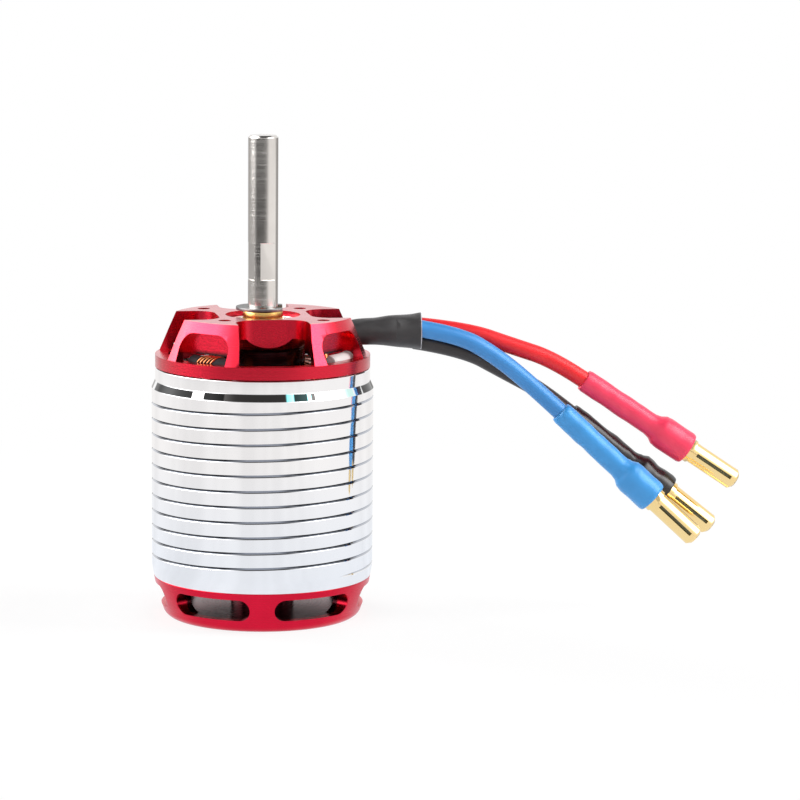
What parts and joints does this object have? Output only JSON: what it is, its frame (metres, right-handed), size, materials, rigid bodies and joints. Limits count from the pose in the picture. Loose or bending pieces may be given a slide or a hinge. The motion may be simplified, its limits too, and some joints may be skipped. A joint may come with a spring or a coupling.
{
  "type": "brushless outrunner motor",
  "caption": "Brushless outrunner motor with a polished grooved can, a red anodised slotted mount and end cap, a long output shaft and short leads ending in bullet plugs.",
  "frame": {"origin": "on the shaft's axis, in the plane of the end cap's foot", "axes": "+Z along the shaft towards its output end, +X roughly towards the side where the leads leave"},
  "size_m": [0.1199, 0.0444, 0.0968],
  "materials": {
    "red_anodised": "satin red anodising with fine turning lines",
    "polished_steel": "mirror polish",
    "ground_steel": "ground",
    "spring_steel": "dark, oiled",
    "bearing_steel": "polished",
    "cage_brass": "plain",
    "brass": "turned",
    "core_steel": "stacked sheet",
    "green_insulator": "matt",
    "copper_wire": "enamelled wire",
    "magnet": "nickel plate",
    "black_sleeve": "satin heat-shrink",
    "white_sleeve": "satin",
    "blue_silicone": "satin",
    "red_silicone": "satin",
    "black_silicone": "satin",
    "blue_shrink": "satin",
    "red_shrink": "satin",
    "black_shrink": "satin",
    "gold_plate": "gold plated"
  },
  "bodies": {
    "stator": {"mount": "red_anodised", "bearing_circlip": "spring_steel", "stator_core": "core_steel", "upper_insulator": "green_insulator", "lower_insulator": "green_insulator", "coil_01": "copper_wire", "coil_02": "copper_wire", "coil_03": "copper_wire", "coil_04": "copper_wire", "coil_05": "copper_wire", "coil_06": "copper_wire", "coil_07": "copper_wire", "coil_08": "copper_wire", "coil_09": "copper_wire", "coil_10": "copper_wire", "coil_11": "copper_wire", "coil_12": "copper_wire", "star_sleeve": "black_sleeve", "joint_sleeve": "white_sleeve", "winding_tails": "copper_wire", "upper_outer_ring": "bearing_steel", "lower_outer_ring": "bearing_steel", "upper_shields": "bearing_steel", "lower_shields": "bearing_steel", "lead_sleeve": "black_sleeve", "blue_phase": "copper_wire", "blue_wire": "blue_silicone", "blue_shrink": "blue_shrink", "blue_bullet": "gold_plate", "red_phase": "copper_wire", "red_wire": "red_silicone", "red_shrink": "red_shrink", "red_bullet": "gold_plate", "black_phase": "copper_wire", "black_wire": "black_silicone", "black_shrink": "black_shrink", "black_bullet": "gold_plate"},
    "rotor": {"shaft": "ground_steel", "flux_can": "polished_steel", "end_cap": "red_anodised", "hub_screws": "spring_steel", "magnet_01": "magnet", "magnet_02": "magnet", "magnet_03": "magnet", "magnet_04": "magnet", "magnet_05": "magnet", "magnet_06": "magnet", "magnet_07": "magnet", "magnet_08": "magnet", "magnet_09": "magnet", "magnet_10": "magnet", "shaft_spacer": "brass", "shaft_clip": "spring_steel", "hub_spacer": "brass", "upper_inner_ring": "bearing_steel", "lower_inner_ring": "bearing_steel"},
    "upper_ball_set": {"upper_cage": "cage_brass", "upper_balls": "bearing_steel"},
    "lower_ball_set": {"lower_cage": "cage_brass", "lower_balls": "bearing_steel"}
  },
  "joints": [
    {"name": "rotor_spin", "type": "hinge", "parent": "stator", "child": "rotor", "pos_m": [0, 0, 0], "axis": [0, 0, 1], "continuous": true},
    {"name": "upper_ball_turn", "type": "hinge", "parent": "stator", "child": "upper_ball_set", "pos_m": [0, 0, 0.0566], "axis": [0, 0, 1], "continuous": true},
    {"name": "lower_ball_turn", "type": "hinge", "parent": "stator", "child": "lower_ball_set", "pos_m": [0, 0, 0.0121], "axis": [0, 0, 1], "continuous": true}
  ],
  "couplings": [
    {"joint": "upper_ball_turn", "follows": "rotor_spin", "ratio": 0.38571},
    {"joint": "lower_ball_turn", "follows": "rotor_spin", "ratio": 0.38571}
  ]
}
